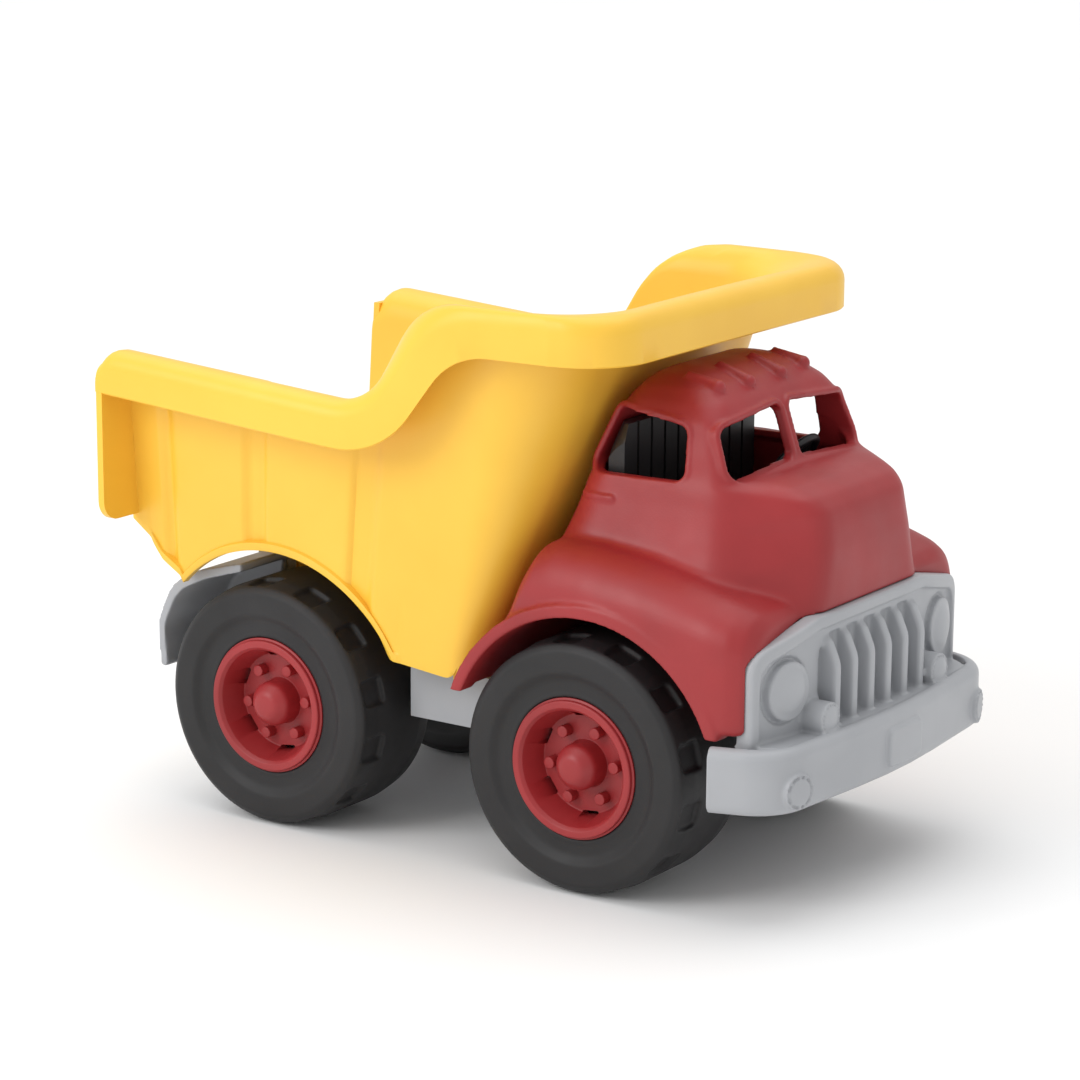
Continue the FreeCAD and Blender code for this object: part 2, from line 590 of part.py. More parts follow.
cab_outer = cab_mass("outer", None)
cab_inner = cab_mass("inner", "cab_wall")
cab_mouth = box("cab_mouth", ("12", "-68.6", "55"), ("111", "68.6", "66"))
cab_skin = cut("cab_skin", cab_outer, fuse("cab_room", [cab_inner, cab_mouth]))
front_arch = rod("front_arch", "<front_arch_radius>", ("<front_hub_x>", "-100", "<hub_height>"), "200",
                 ALONG_Y)
front_arch_rim = rod("front_arch_rim", "<front_arch_radius> + <cab_wall>",
                     ("<front_hub_x>", "-70.2", "<hub_height>"), "140.4", ALONG_Y)
liner_keep = fuse("liner_keep", [
    box("liner_right", ("5", "-70.2", "62.5"), ("112", "-28.6", "100")),
    box("liner_left", ("5", "28.6", "62.5"), ("112", "70.2", "100"))])
arch_liner = common("arch_liner", [front_arch_rim, liner_keep, cab_outer])
SIDE_WINDOW = [(47.0, 154.8, 3.5), (73.8, 151.6, 3.5), (75.4, 134.5, 3.5), (38.6, 134.0, 3.5)]
side_window = prism("side_window", outline("side_window_outline", "side_window", SIDE_WINDOW), "160")
SCREEN = [(-2.6, 153.6, 2.5), (-36.5, 151.0, 3.5), (-39.0, 135.0, 3.5), (-2.6, 137.4, 2.5)]
screen_right = prism("screen_right", outline("screen_outline", "screen", SCREEN, "front"), "60", False)
bind(screen_right, {"Placement.Base.x": "70"})
screen_left = mirrored("screen_left", screen_right)
panel_gap = prism("panel_gap", outline("panel_gap_outline", "panel_front", PANEL_FRONT, "front"), "40", False)
bind(panel_gap, {"Placement.Base.x": "104"})
cab_open = cut("cab_open", cab_skin, fuse("cab_openings", [side_window, front_arch, panel_gap]))
for screen_name, windscreen in (("right", screen_right), ("left", screen_left)):
    cab_open = cut(f"screen_{screen_name}_open", cab_open, windscreen)
lamps = []
for lamp_index, (lamp_front, lamp_y, lamp_z) in enumerate(
        ((77.0, -26.3, 160.0), (78.4, -9.8, 161.0), (78.4, 9.8, 161.0), (77.0, 26.3, 160.0)), 1):
    lamp_key = f"roof_lamp_{lamp_index}"
    cell(f"{lamp_key}_front", lamp_front)
    cell(f"{lamp_key}_side", lamp_y)
    cell(f"{lamp_key}_height", lamp_z)
    lamps.append(rod(lamp_key, "<lamp_radius>",
                     (f"<{lamp_key}_front> - <lamp_length>", f"<{lamp_key}_side>", f"<{lamp_key}_height>"),
                     "<lamp_length>", ALONG_X))
cab_lined = fuse("cab_lined", [cab_open, cut("liner", arch_liner, front_arch)])
lamp_caps = cut("lamp_caps", fuse("lamp_set", lamps), cab_inner)
part("cab_shell", fuse("cab_full", [cab_lined, lamp_caps]))

# black inner moulding: pedestal on the chassis, and above it a floor, a seat and a dashboard in the cab
pedestal = box("pedestal", ("27.4", "-20", "<spine_high>"), ("100", "20", "<interior_floor> + 1"))
pedestal_hollow = box("pedestal_hollow", ("30.4", "-17", "<spine_high> - 1"),
                      ("97", "17", "<interior_floor> - 3"))
pedestal_bosses = screw_rods("pedestal_boss", CAB_SCREWS, "<boss_radius>", "<spine_high>",
                             "<interior_floor> - <spine_high>")
furniture = [
    box("cab_floor", ("30", "-48", "<interior_floor>"), ("98", "48", "<seat_low>")),
    box("seat", ("42", "-40", "<seat_low>"), ("64", "40", "<seat_high>")),
    box("seat_back", ("44", "-40", "<seat_high>"), ("50", "40", "149")),
    box("dashboard", ("80", "-46", "<seat_low>"), ("93", "46", "128")),
]
cab_room = common("cab_furniture", [fuse("furniture", furniture), cab_mass("room", "interior_gap")])
SEAT_GROOVES = 9
seat_grooves = []
for groove_index in range(SEAT_GROOVES):
    groove_y = 8 * (groove_index - (SEAT_GROOVES - 1) / 2)
    seat_grooves.append(box(f"seat_groove_{groove_index + 1}",
                            ("49", f"{groove_y} - <seat_groove_half>", "<seat_high> + 2"),
                            ("51", f"{groove_y} + <seat_groove_half>", "150")))
pedestal_holes = screw_rods("pedestal_hole", CAB_SCREWS, "<screw_radius>", "<spine_high> - 1",
                            "<cab_screw_length>")

# steering wheel and its column, made upright and then tipped back; the column's end sits in the dashboard
STEERING_PLACE = FreeCAD.Placement(V(76.5, 22, 131.5), FreeCAD.Rotation(V(0, 1, 0), -50))
steering_ring = doc.addObject("Part::Torus", "steering_ring")
bind(steering_ring, {"Radius1": "<steering_radius>", "Radius2": "<steering_grip>"})
steering_spoke = box("steering_spoke", ("-<steering_radius>", "-1.6", "-1"),
                     ("<steering_radius>", "1.6", "1"))
steering_column = rod("steering_column", "<column_radius>", ("0", "0", "-<column_length>"), "<column_length>",
                      ALONG_Z)
steering_wheel = fuse("steering_set", [steering_ring, steering_spoke, steering_column])
steering_wheel.Placement = STEERING_PLACE
part("steering_wheel", steering_wheel)

steering_socket = rod("steering_socket", "<column_radius>", ("0", "0", "-<column_length>"),
                      "<column_length>", ALONG_Z)
socket_group = fuse("steering_sockets", [steering_socket, box("socket_tip", ("-0.5", "-0.5", "-12"),
                                                              ("0.5", "0.5", "-11"))])
socket_group.Placement = STEERING_PLACE
interior_cut = fuse("interior_cut", seat_grooves + pedestal_holes + [socket_group])
pedestal_shell = fuse("pedestal_shell", [cut("pedestal_walls", pedestal, pedestal_hollow)] + pedestal_bosses)
part("cab_interior", cut("interior_body", fuse("interior_full", [pedestal_shell, cab_room]), interior_cut))

# ---------------------------------------------------------------- grille and bumper
BUMPER_PLAN = [
    (103.5, -76.0, 0), (126.5, -68.0, 20), (133.8, 0.0, 280), (126.5, 68.0, 20), (103.5, 76.0, 0),
    (102.0, 72.0, 0), (122.5, 63.6, 16), (129.6, 0.0, 280), (122.5, -63.6, 16), (102.0, -72.0, 0),
]
SHELF_PLAN = [
    (109.0, -72.0, 0), (125.0, -67.0, 18), (132.5, 0.0, 280), (125.0, 67.0, 18), (109.0, 72.0, 0),
]
PANEL_PLAN = [
    (110.6, -66.0, 0), (114.6, -66.0, 1), (117.0, -44.0, 20), (120.0, -30.0, 20), (120.0, 30.0, 20),
    (117.0, 44.0, 20), (114.6, 66.0, 1), (110.6, 66.0, 0), (113.4, 42.0, 0), (116.4, 28.0, 0),
    (116.4, -28.0, 0), (113.4, -42.0, 0),
]
LIP_PLAN = [
    (110.6, -66.0, 0), (116.2, -66.0, 1), (118.6, -44.0, 20), (121.6, -30.0, 20), (121.6, 30.0, 20),
    (118.6, 44.0, 20), (116.2, 66.0, 1), (110.6, 66.0, 0), (113.4, 42.0, 0), (116.4, 28.0, 0),
    (116.4, -28.0, 0), (113.4, -42.0, 0),
]
LIP_INSIDE = [
    (-62.8, 50.0, 0), (62.8, 50.0, 0), (62.8, 85.2, 5), (32.2, 92.2, 12), (-32.2, 92.2, 12), (-62.8, 85.2, 5),
]
FIN_SIDE = [(114.0, 58.0, 0), (123.6, 58.0, 0), (123.6, 78.0, 9), (118.5, 87.5, 3), (114.0, 87.5, 0)]
SHORT_FIN_SIDE = [(114.0, 58.0, 0), (121.4, 58.0, 0), (121.4, 76.0, 4), (119.0, 80.0, 1), (114.0, 80.0, 0)]
MARKER_SWEEP = 20


def plan_slab(name, corners, low, high):
    """A plan outline raised between two heights."""
    sketch = outline(f"{name}_outline", name, corners, "plan", None, low)
    return prism(name, sketch, f"({high}) - ({low})", False)


def front_block(name, key, corners):
    """A block along the truck, as wide and tall as a front outline."""
    return prism(name, outline(f"{name}_outline", key, corners, "front"), "300")


bumper_bar = plan_slab("bumper_plan", BUMPER_PLAN, "<bumper_low>", "<bumper_high>")
bumper_shelf = plan_slab("shelf_plan", SHELF_PLAN, "<bumper_high> - <shelf_thick>", "<bumper_high>")
panel_face = common("panel_face", [plan_slab("panel_plan", PANEL_PLAN, "57", "100"),
                                   front_block("panel_front_block", "panel_front", PANEL_FRONT)])
lip_face = common("lip_face", [plan_slab("lip_plan", LIP_PLAN, "57", "100"),
                               front_block("lip_front_block", "panel_front", PANEL_FRONT)])
lip_ring = cut("lip_ring", lip_face, front_block("lip_inside_block", "lip_inside", LIP_INSIDE))
FIN_PITCH = 11
fins = []
for fin_name, fin_corners, fin_count in (("fin", FIN_SIDE, 6), ("short_fin", SHORT_FIN_SIDE, 5)):
    for fin_index in range(fin_count):
        fin_outline = outline(f"{fin_name}_outline_{fin_index + 1}", f"{fin_name}_side", fin_corners)
        fin = prism(f"{fin_name}_{fin_index + 1}", fin_outline, "2 * <fin_half>")
        bind(fin, {"Placement.Base.y": f"{FIN_PITCH * (fin_index - (fin_count - 1) / 2)}"})
        fins.append(fin)
lights = []
for light_name, light_side in (("right", -1), ("left", 1)):
    headlight_y, fog_y, marker_y = (f"{light_side * reach}" for reach in (49.1, 35.7, 58.0))
    lights.append(rod(f"headlight_{light_name}", "<headlight_radius>",
                      ("112", headlight_y, "<headlight_height>"), "7.2", ALONG_X))
    lens = doc.addObject("Part::Sphere", f"lens_{light_name}")
    bind(lens, {"Radius": "14", "Placement.Base.x": "107.2", "Placement.Base.y": headlight_y,
                "Placement.Base.z": "<headlight_height>"})
    lights.append(lens)
    lights.append(rod(f"fog_{light_name}", "<fog_radius>", ("115", fog_y, "<fog_height>"), "11", ALONG_X))
    marker = rod(f"marker_{light_name}", "<marker_radius>", ("125.4", marker_y, "46.5"), "3.6", ALONG_X)
    marker.Placement.Rotation = FreeCAD.Rotation(V(0, 0, 1), MARKER_SWEEP * light_side) * ALONG_X
    lights.append(marker)
plate = box("bumper_plate", ("129", "-11", "42"), ("133.5", "11", "53"))
bracket = box("bracket", ("<spine_rear_x> + <spine_length>", "-20", "42"), ("131", "20", "58"))
bracket_hollow = box("bracket_hollow", ("107", "-17", "41"), ("128", "17", "55"))
lens_keep = box("lens_keep", ("111", "-80", "30"), ("140", "80", "100"))
lights_trimmed = common("lights_trimmed", [fuse("lights", lights), lens_keep])
grille = [bumper_bar, bumper_shelf, panel_face, lip_ring, plate,
          cut("bracket_shell", bracket, bracket_hollow),
          lights_trimmed]
part("grille_bumper", fuse("grille_full", grille + fins))

# ---------------------------------------------------------------- export
doc.recompute()
for item in doc.Objects:
    if "Invalid" in item.State or "Error" in item.State:
        raise RuntimeError(f"{item.Label} did not build: {item.State}")
for label, solid in parts.items():
    shape = solid.Shape
    if shape.isNull() or not shape.isValid():
        raise RuntimeError(f"{label} has no valid shape")
os.makedirs("parts", exist_ok=True)
for label, solid in parts.items():
    solid.Shape.exportStep(os.path.join("parts", f"{label}.step"))
    print(label, len(solid.Shape.Solids), round(solid.Shape.Volume / 1000, 1))
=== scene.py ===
import json
import math

import bmesh
import bpy
from mathutils import Matrix, Quaternion, Vector
from mathutils.bvhtree import BVHTree


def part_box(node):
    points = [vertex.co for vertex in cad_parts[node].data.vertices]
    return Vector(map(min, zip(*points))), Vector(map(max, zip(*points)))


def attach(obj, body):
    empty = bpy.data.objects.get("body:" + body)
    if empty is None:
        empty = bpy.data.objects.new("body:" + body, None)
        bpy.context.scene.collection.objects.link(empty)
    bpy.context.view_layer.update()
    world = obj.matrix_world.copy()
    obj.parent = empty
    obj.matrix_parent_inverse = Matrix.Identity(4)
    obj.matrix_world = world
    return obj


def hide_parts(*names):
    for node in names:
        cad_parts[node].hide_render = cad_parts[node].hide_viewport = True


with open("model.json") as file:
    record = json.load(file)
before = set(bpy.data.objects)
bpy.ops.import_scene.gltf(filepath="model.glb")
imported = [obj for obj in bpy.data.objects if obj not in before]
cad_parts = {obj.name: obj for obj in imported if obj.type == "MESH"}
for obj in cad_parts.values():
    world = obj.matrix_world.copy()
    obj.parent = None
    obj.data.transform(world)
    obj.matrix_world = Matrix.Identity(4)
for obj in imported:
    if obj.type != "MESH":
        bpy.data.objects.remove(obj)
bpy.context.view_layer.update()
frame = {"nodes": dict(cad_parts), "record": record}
MM = 0.001


# ------------------------------------------------------------------ camera, light and floor
def add_camera():
    """A long lens at the truck's front right, a little above it."""
    right = Vector((0.82361, 0.56713, 0.00621))
    up = Vector((-0.13731, 0.18876, 0.97238))
    back = right.cross(up)
    data = bpy.data.cameras.new("camera")
    data.lens = 116.36
    data.sensor_width = 36.0
    camera = bpy.data.objects.new("camera", data)
    turn = Matrix((right, up, back)).transposed().to_4x4()
    camera.matrix_world = Matrix.Translation((0.64359, -0.95208, 0.37236)) @ turn
    bpy.context.scene.collection.objects.link(camera)
    bpy.context.scene.camera = camera


def add_area(name, place, size, power, aim=(0.0, 0.0, 0.08)):
    """A large soft lamp aimed at the truck."""
    data = bpy.data.lights.new(name, "AREA")
    data.shape = "RECTANGLE"
    data.size, data.size_y = size
    data.energy = power
    lamp = bpy.data.objects.new(name, data)
    lamp.location = place
    lamp.rotation_mode = "QUATERNION"
    lamp.rotation_quaternion = (Vector(aim) - Vector(place)).to_track_quat("-Z", "Y")
    bpy.context.scene.collection.objects.link(lamp)


def add_studio():
    scene = bpy.context.scene
    world = bpy.data.worlds.new("studio")
    scene.world = world
    world.use_nodes = True
    back = world.node_tree.nodes["Background"]
    back.inputs["Color"].default_value = (1.0, 1.0, 1.0, 1.0)
    back.inputs["Strength"].default_value = 0.74
    scene.view_settings.view_transform = "Standard"
    sun = bpy.data.lights.new("ceiling", "SUN")
    sun.energy = 1.3
    sun.angle = math.radians(70)
    ceiling = bpy.data.objects.new("ceiling", sun)
    ceiling.rotation_euler = (math.radians(-8), math.radians(-10), 0.0)
    scene.collection.objects.link(ceiling)
    add_area("softbox", (-0.55, -1.25, 0.85), (0.8, 0.8), 9.0)
    mesh = bpy.data.meshes.new("floor")
    floor = bpy.data.objects.new("floor", mesh)
    bm = bmesh.new()
    bmesh.ops.create_grid(bm, x_segments=1, y_segments=1, size=8.0)
    bm.to_mesh(mesh)
    bm.free()
    scene.collection.objects.link(floor)
    mesh.materials.append(floor_paper())


# ------------------------------------------------------------------ materials
def new_material(name):
    material = bpy.data.materials.new(name)
    material.use_nodes = True
    tree = material.node_tree
    return material, tree, tree.nodes["Principled BSDF"]


def noise(tree, scale, detail, roughness=0.5):
    """A noise pattern fixed to the object."""
    place = tree.nodes.new("ShaderNodeTexCoord")
    pattern = tree.nodes.new("ShaderNodeTexNoise")
    pattern.inputs["Scale"].default_value = scale
    pattern.inputs["Detail"].default_value = detail
    pattern.inputs["Roughness"].default_value = roughness
    tree.links.new(place.outputs["Object"], pattern.inputs["Vector"])
    return pattern.outputs["Fac"]


def spread(tree, value, low, high, start=0.3, end=0.7):
    """Carry a 0 to 1 pattern over to a range."""
    node = tree.nodes.new("ShaderNodeMapRange")
    node.inputs["From Min"].default_value = start
    node.inputs["From Max"].default_value = end
    node.inputs["To Min"].default_value = low
    node.inputs["To Max"].default_value = high
    tree.links.new(value, node.inputs["Value"])
    return node.outputs["Result"]


def tint(tree, value, first, last):
    """Blend two colours by a pattern."""
    node = tree.nodes.new("ShaderNodeMix")
    node.data_type = "RGBA"
    node.inputs["A"].default_value = (*first, 1.0)
    node.inputs["B"].default_value = (*last, 1.0)
    tree.links.new(value, node.inputs["Factor"])
    return node.outputs["Result"]


def grain_bump(tree, shader, layers):
    """Stack bumps of several noise sizes; each layer is scale, detail, depth in metres."""
    normal = None
    for scale, detail, depth in layers:
        bump = tree.nodes.new("ShaderNodeBump")
        bump.inputs["Strength"].default_value = 1.0
        bump.inputs["Distance"].default_value = depth
        tree.links.new(noise(tree, scale, detail), bump.inputs["Height"])
        if normal:
            tree.links.new(normal, bump.inputs["Normal"])
        normal = bump.outputs["Normal"]
    tree.links.new(normal, shader.inputs["Normal"])


def moulded_plastic(name, light, dark, rough, layers, specular=0.5):
    """Satin moulded plastic: faint colour drift, uneven gloss and a fine mould grain."""
    material, tree, shader = new_material(name)
    drift = spread(tree, noise(tree, 26.0, 3.0), 0.0, 1.0, 0.35, 0.65)
    tree.links.new(tint(tree, drift, dark, light), shader.inputs["Base Color"])
    gloss = spread(tree, noise(tree, 70.0, 4.0), rough[0], rough[1])
    tree.links.new(gloss, shader.inputs["Roughness"])
    shader.inputs["Specular IOR Level"].default_value = specular
    grain_bump(tree, shader, layers)
    return material


def floor_paper():
    material, tree, shader = new_material("floor_paper")
    fleck = spread(tree, noise(tree, 3.0, 2.0), 0.0, 1.0)
    tree.links.new(tint(tree, fleck, (0.88, 0.88, 0.88), (0.90, 0.90, 0.90)), shader.inputs["Base Color"])
    shader.inputs["Roughness"].default_value = 0.9
    shader.inputs["Specular IOR Level"].default_value = 0.1
    return material


YELLOW = moulded_plastic("yellow_moulded_plastic", (0.93, 0.56, 0.060), (0.90, 0.53, 0.052), (0.36, 0.44),
                         [(60.0, 2.0, 0.00006), (1400.0, 2.0, 0.00001)], 0.45)
RED = moulded_plastic("red_grained_plastic", (0.34, 0.021, 0.024), (0.28, 0.016, 0.018), (0.40, 0.50),
                      [(60.0, 2.0, 0.00005), (1700.0, 3.0, 0.00003)], 0.5)
GREY = moulded_plastic("grey_moulded_plastic", (0.40, 0.41, 0.43), (0.36, 0.37, 0.39), (0.38, 0.46),
                       [(60.0, 2.0, 0.00005), (1600.0, 2.0, 0.000015)], 0.45)
TYRE = moulded_plastic("charcoal_tyre_plastic", (0.019, 0.018, 0.019), (0.015, 0.0145, 0.015), (0.50, 0.62),
                       [(80.0, 2.0, 0.00006), (1500.0, 3.0, 0.00004)], 0.4)
BLACK = moulded_plastic("black_cab_plastic", (0.016, 0.015, 0.016), (0.011, 0.010, 0.011), (0.38, 0.5),
                        [(1300.0, 3.0, 0.00003)], 0.5)
STEEL = moulded_plastic("zinc_screw_steel", (0.55, 0.55, 0.56), (0.45, 0.45, 0.46), (0.3, 0.45),
                        [(900.0, 3.0, 0.00002)], 0.5)
STEEL.node_tree.nodes["Principled BSDF"].inputs["Metallic"].default_value = 1.0
FINISH = {"yellow_plastic": YELLOW, "red_plastic": RED, "grey_plastic": GREY, "tyre_black": TYRE,
          "black_plastic": BLACK, "screw_steel": STEEL}


# ------------------------------------------------------------------ mesh helpers
def rounded(corners, step=math.radians(12)):
    """Points of an outline whose corners (across, along, radius) are rounded with arcs."""
    points = []
    count = len(corners)
    for index, (u, v, radius) in enumerate(corners):
        here = Vector((u, v))
        if radius <= 0:
            points.append(here)
            continue
        back = (Vector(corners[index - 1][:2]) - here).normalized()
        ahead = (Vector(corners[(index + 1) % count][:2]) - here).normalized()
        half = back.angle(ahead) / 2
        reach = radius / math.tan(half)
        centre = here + (back + ahead).normalized() * radius / math.sin(half)
        first, last = here + back * reach - centre, here + ahead * reach - centre
        turn = first.angle_signed(last)
        steps = max(2, int(abs(turn) / step) + 1)
        for stop in range(steps + 1):
            points.append(centre + Matrix.Rotation(-turn * stop / steps, 2) @ first)
    return points


def loop_of(bm, points):
    """A closed loop of edges through points, in millimetres."""
    verts = [bm.verts.new(Vector(point) * MM) for point in points]
    return [bm.edges.new((verts[index - 1], vert)) for index, vert in enumerate(verts)]


def lofted(sections, capped=True):
    """Skin a row of closed loops that have the same number of points."""
    bm = bmesh.new()
    loops = [loop_of(bm, section) for section in sections]
    for first, last in zip(loops, loops[1:]):
        bmesh.ops.bridge_loops(bm, edges=first + last)
    if capped:
        bmesh.ops.contextual_create(bm, geom=loops[0])
        bmesh.ops.contextual_create(bm, geom=loops[-1])
    bmesh.ops.recalc_face_normals(bm, faces=bm.faces)
    return bm


def raised(corners, low, high, plane="side"):
    """A prism of a rounded outline: side outlines run across Y, front along X, plan along Z."""
    points = rounded(corners)
    lift = {"side": lambda p, t: (p.x, t, p.y), "front": lambda p, t: (t, p.x, p.y),
            "plan": lambda p, t: (p.x, p.y, t)}[plane]
    return lofted([[lift(point, low) for point in points], [lift(point, high) for point in points]])


def turned(profile, steps):
    """Spin a half section (radius, height) about the upright axis."""
    bm = bmesh.new()
    verts = [bm.verts.new(Vector((point.x, 0, point.y)) * MM) for point in profile]
    edges = [bm.edges.new((verts[index - 1], vert)) for index, vert in enumerate(verts)]
    bmesh.ops.spin(bm, geom=verts + edges, cent=(0, 0, 0), axis=(0, 0, 1), angle=2 * math.pi, steps=steps,
                   use_merge=True)
    bmesh.ops.remove_doubles(bm, verts=bm.verts, dist=0.00002)
    bmesh.ops.recalc_face_normals(bm, faces=bm.faces)
    return bm


def absorb(bm, *others):
    """Join other meshes into this one."""
    for other in others:
        spare = bpy.data.meshes.new("spare")
        other.to_mesh(spare)
        other.free()
        bm.from_mesh(spare)
        bpy.data.meshes.remove(spare)
    return bm


def drum(radius, length, place, turn=None, segments=32, top=None):
    """A cylinder centred on a place, standing along Z or turned."""
    bm = bmesh.new()
    bmesh.ops.create_cone(bm, cap_ends=True, segments=segments, radius1=radius * MM,
                          radius2=(radius if top is None else top) * MM, depth=length * MM)
    matrix = Matrix.Translation(Vector(place) * MM) @ (turn.to_matrix().to_4x4() if turn else Matrix())
    bmesh.ops.transform(bm, matrix=matrix, verts=bm.verts)
    return bm


ALONG_Y = Quaternion((1, 0, 0), math.radians(-90))
ALONG_X = Quaternion((0, 1, 0), math.radians(90))


def soften_edges(bm, angle=32):
    """Smooth shading, with sharp edges only where faces meet steeply."""
    limit = math.radians(angle)
    for face in bm.faces:
        face.smooth = True
    for edge in bm.edges:
        if len(edge.link_faces) == 2:
            edge.smooth = edge.calc_face_angle(0.0) < limit


def to_object(name, bm):
    mesh = bpy.data.meshes.new(name)
    bm.to_mesh(mesh)
    bm.free()
    piece = bpy.data.objects.new(name, mesh)
    bpy.context.scene.collection.objects.link(piece)
    return piece


def settle(piece):
    """Apply a piece's modifiers to its mesh."""
    graph = bpy.context.evaluated_depsgraph_get()
    mesh = bpy.data.meshes.new_from_object(piece.evaluated_get(graph))
    piece.modifiers.clear()
    piece.data = mesh


def remeshed(piece, voxel, rounds, budget=None):
    """One smooth skin over all of a piece's solids, with soft edges."""
    skin = piece.modifiers.new("skin", "REMESH")
    skin.mode = "VOXEL"
    skin.voxel_size = voxel * MM
    relax = piece.modifiers.new("relax", "SMOOTH")
    relax.factor = 0.5
    relax.iterations = rounds
    settle(piece)
    if budget:
        faces = sum(len(polygon.vertices) - 2 for polygon in piece.data.polygons)
        if faces > budget:
            thin = piece.modifiers.new("thin", "DECIMATE")
            thin.ratio = budget / faces
            settle(piece)
    for polygon in piece.data.polygons:
        polygon.use_smooth = True


def carve(piece, cutters):
    """Cut away the cutters, one after another."""
    for index, cutter in enumerate(cutters):
        tool = to_object(f"cutter_{index}", cutter)
        cut = piece.modifiers.new(tool.name, "BOOLEAN")
        cut.operation = "DIFFERENCE"
        cut.solver = "EXACT"
        cut.object = tool
        settle(piece)
        bpy.data.objects.remove(tool)


def dress(piece, body, slot, *nodes):
    """Give a finished piece its material, body and the nodes that it stands for."""
    piece.data.materials.clear()
    piece.data.materials.append(FINISH[slot])
    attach(piece, body)
    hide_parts(*nodes)


def middle(node):
    low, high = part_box(node)
    return (low + high) / 2 / MM


FRONT_HUB = middle("front_axle")
REAR_HUB = middle("rear_axle")

# ------------------------------------------------------------------ wheels
TYRE_HALF = [
    (23.3, 13.5, 0), (23.3, 18.6, 0.8), (25.4, 18.1, 1.5), (29.0, 18.2, 3), (31.8, 19.9, 2.0),
    (38.6, 20.0, 2),
    (41.0, 18.4, 2.2), (42.0, 12.0, 3), (42.0, -12.0, 3), (41.0, -18.4, 2.2), (38.6, -20.0, 2),
    (34.0, -20.0, 4), (28.5, -17.8, 3), (23.3, -18.6, 0.8), (23.3, -13.5, 0),
]
POCKETS = 13


def tyre(name, hub, side):
    """Tyre with rounded square pockets round its outer shoulder."""
    piece = to_object(name, turned(rounded(TYRE_HALF, math.radians(15)), 160))
    pockets = bmesh.new()
    for index in range(POCKETS):
        points = rounded([(-4.6, 7.4, 1.5), (4.6, 7.4, 1.5), (4.6, 17.2, 1.5), (-4.6, 17.2, 1.5)])
        pocket = lofted([[(reach, p.x * (1 + grow), p.y) for p in points]
                         for reach, grow in ((40.1, -0.12), (41.0, 0.0), (46.0, 0.1))])
        turn = 2 * math.pi * index / POCKETS + math.radians(side * 14)
        bmesh.ops.rotate(pocket, verts=pocket.verts, cent=(0, 0, 0), matrix=Matrix.Rotation(turn, 3, "Z"))
        absorb(pockets, pocket)
    carve(piece, [pockets])
    remeshed(piece, 0.55, 2, 120000)
    set_on_hub(piece, hub, side)
    dress(piece, "front_wheelset" if "front" in name else "rear_wheelset", "tyre_black", name[:-5])


def set_on_hub(piece, hub, side):
    """Turn a piece that was made lying flat, and put it on its axle."""
    turn = Matrix.Rotation(math.radians(-90 * side), 4, "X")
    piece.data.transform(Matrix.Translation(Vector((hub.x, side * 50.0, hub.z)) * MM) @ turn)


RIM_HALF = [
    (0.0, 20.6, 0), (4.2, 20.4, 3.9), (7.6, 17.0, 3.6), (7.9, 10.4, 0.3), (16.6, 10.4, 0.5),
    (19.3, 18.9, 0.8),
    (20.3, 20.0, 0.6), (22.6, 20.0, 0.6), (22.7, 18.7, 0), (23.3, 18.4, 0), (23.3, -18.0, 0),
    (20.8, -18.0, 0), (20.8, 7.4, 1), (8.0, 7.4, 1), (8.0, -17.0, 0), (0.0, -17.0, 0),
]


def wheel(name, hub, side):
    """Red wheel: dished face, six bolts, six slots and a domed centre."""
    phase = 6.0 if hub is FRONT_HUB else 8.0
    bm = turned(rounded(RIM_HALF, math.radians(12)), 96)
    piece = to_object(name, bm)
    slots = bmesh.new()
    for index in range(6):
        turn = math.radians(60 * index + 30 + phase)
        outline = rounded([(15.7, -3.2, 0.8), (17.5, -3.2, 0.8), (17.5, 3.2, 0.8), (15.7, 3.2, 0.8)])
        slot = lofted([[(p.x, p.y, level) for p in outline] for level in (4.0, 15.0)])
        bmesh.ops.rotate(slot, verts=slot.verts, cent=(0, 0, 0), matrix=Matrix.Rotation(turn, 3, "Z"))
        absorb(slots, slot)
    carve(piece, [slots])
    bm = bmesh.new()
    bm.from_mesh(piece.data)
    for index in range(6):
        turn = math.radians(60 * index + phase)
        place = (12.4 * math.cos(turn), 12.4 * math.sin(turn), 11.9)
        bolt = drum(1.95, 4.4, place)
        rim = [edge for edge in bolt.edges if all(vert.co.z > 13 * MM for vert in edge.verts)]
        bmesh.ops.bevel(bolt, geom=rim, offset=0.35 * MM, segments=3, profile=0.5, affect="EDGES",
                        material=-1)
        absorb(bm, bolt)
    soften_edges(bm, 30)
    bm.to_mesh(piece.data)
    bm.free()
    set_on_hub(piece, hub, side)
    dress(piece, "front_wheelset" if "front" in name else "rear_wheelset", "red_plastic", name[:-5])


def make_wheels():
    for row, hub in (("front", FRONT_HUB), ("rear", REAR_HUB)):
        for hand, side in (("right", -1), ("left", 1)):
            tyre(f"tyre_{row}_{hand}_form", hub, side)
            wheel(f"wheel_{row}_{hand}_form", hub, side)


# ------------------------------------------------------------------ dump bed
REAR = -133.3
LOW_Z, HIGH_Z = 60.0, 176.0
LOW_HALF, HIGH_HALF = 62.0, 71.0
LOW_FRONT, HIGH_FRONT = 4.0, 46.5
LOW_ROUND, HIGH_ROUND = 8.0, 28.0
RIM_OUT, RIM_TIP, RIM_FRONT, RIM_CORNER = 85.4, 80.0, 69.5, 21.0
REAR_SPREAD = 2.4
SKIN = 2.6


def mix(first, last, share):
    return first + (last - first) * share


def smooth_step(value, start, end):
    share = min(1.0, max(0.0, (value - start) / (end - start)))
    return share * share * (3 - 2 * share)


